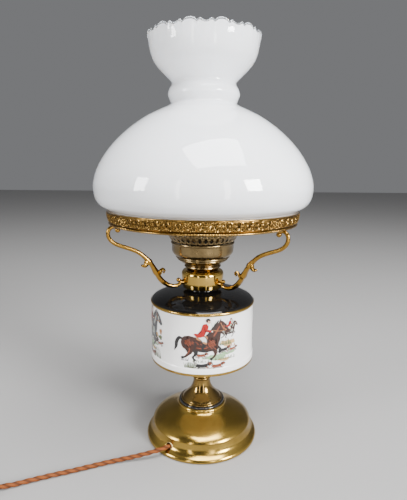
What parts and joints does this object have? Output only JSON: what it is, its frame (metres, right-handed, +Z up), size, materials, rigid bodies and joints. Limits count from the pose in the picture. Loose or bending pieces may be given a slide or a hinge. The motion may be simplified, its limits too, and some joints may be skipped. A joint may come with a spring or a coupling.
{
  "type": "oil lamp style table lamp",
  "caption": "Electric table lamp shaped like an oil lamp: brass foot, porcelain drum font, scroll arms, pierced ring and domed opal glass shade with a crimped crown, braided cord.",
  "frame": {"origin": "on the lamp axis, on the surface that the foot stands on", "axes": "+Z up along the lamp axis, -Y is the front of the lamp, +X to the right of someone facing it"},
  "size_m": [0.5349, 0.3124, 0.527],
  "materials": {
    "brass": "polished, aged lacquer",
    "cast_brass": "cast and polished, golden",
    "pressed_brass": "pressed and pierced, tarnished hollows",
    "antique_brass": "antique, dull",
    "steel_plate": "black paint",
    "felt": "green felt",
    "cast_iron": "raw",
    "bush_metal": "nickel-plated eyelet",
    "black_plastic": "black",
    "steel_screws": "zinc plated",
    "zinc_steel": "zinc plated",
    "black_lacquer": "gloss black",
    "cork_gasket": "cork and rubber",
    "porcelain": "white glaze, black shoulder, gilt edges",
    "ceramic_insert": "unglazed white",
    "lead_sheath": "white sheath",
    "cap_aluminium": "rolled thread",
    "frosted_glass": "inside frosted",
    "opal_glass": "glossy opal white, clear crown edge",
    "braided_cord": "copper-gold textile braid",
    "brown_plastic": "dark brown",
    "plug_pin_metal": "nickel-plated pins, dark sleeves"
  },
  "bodies": {
    "lamp": {"base_shell": "brass", "base_plate": "steel_plate", "base_felt": "felt", "base_weight": "cast_iron", "cord_bush": "bush_metal", "cord_clamp": "black_plastic", "clamp_screws": "steel_screws", "base_washer": "zinc_steel", "base_nut": "zinc_steel", "lamp_pipe": "zinc_steel", "seat_ring": "black_lacquer", "stem": "brass", "font_gasket": "cork_gasket", "font_body": "porcelain", "neck_gasket": "cork_gasket", "collar": "brass", "arm_left": "cast_brass", "arm_right": "cast_brass", "arm_rear": "cast_brass", "arm_screws": "steel_screws", "gallery_ring": "pressed_brass", "ring_rivets": "cast_brass", "burner_bowl": "antique_brass", "burner_crown": "antique_brass", "burner_nut": "zinc_steel", "holder_cap": "black_plastic", "holder_body": "black_plastic", "holder_insert": "ceramic_insert", "holder_contact": "brass", "inner_lead": "lead_sheath", "lead_to_switch": "braided_cord", "lead_to_coil": "braided_cord", "lead_coil": "braided_cord", "lead_to_plug": "braided_cord", "switch_base": "brown_plastic", "switch_cover": "brown_plastic", "switch_screws": "steel_screws", "plug_body": "brown_plastic", "plug_pins": "plug_pin_metal"},
    "glass_shade": {"shade": "opal_glass"},
    "bulb": {"bulb_cap": "cap_aluminium", "bulb_glass": "frosted_glass"},
    "rocker": {"switch_rocker": "brown_plastic"}
  },
  "joints": [
    {"name": "shade_lift", "type": "slide", "parent": "lamp", "child": "glass_shade", "axis": [0, 0, 1], "range_m": [0, 0.11]},
    {"name": "bulb_unscrew", "type": "slide", "parent": "lamp", "child": "bulb", "axis": [0, 0, 1], "range_m": [0, 0.03]},
    {"name": "rocker_tip", "type": "hinge", "parent": "lamp", "child": "rocker", "pos_m": [-0.27767, -0.14158, 0.013], "axis": [0.4067, -0.9135, 0], "range_deg": [-24, 0]}
  ]
}
